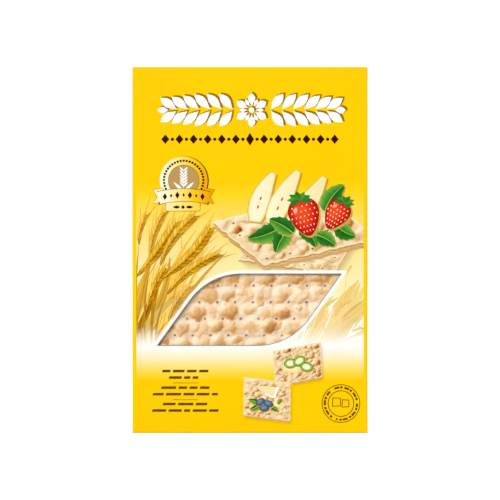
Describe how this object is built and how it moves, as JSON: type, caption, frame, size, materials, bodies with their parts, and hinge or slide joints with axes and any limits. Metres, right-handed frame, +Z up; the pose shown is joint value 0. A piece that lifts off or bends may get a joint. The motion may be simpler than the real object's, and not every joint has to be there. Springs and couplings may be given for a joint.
{
  "type": "windowed matzo carton",
  "caption": "Upright yellow folding carton of matzo; a leaf-shaped window in its front panel shows the first docked and blistered sheet.",
  "frame": {"origin": "middle of the base, on the surface the carton stands on", "axes": "+Z up, front panel with the window faces -Y, +X to the right of someone facing the front panel"},
  "size_m": [0.105, 0.05, 0.1635],
  "materials": {
    "yellow_board": "satin print varnish on coated board",
    "clear_film": "clear glossy film",
    "baked_dough": null
  },
  "bodies": {
    "root": {"carton": "yellow_board", "window_film": "clear_film", "matzo_sheet": "baked_dough"}
  },
  "joints": []
}
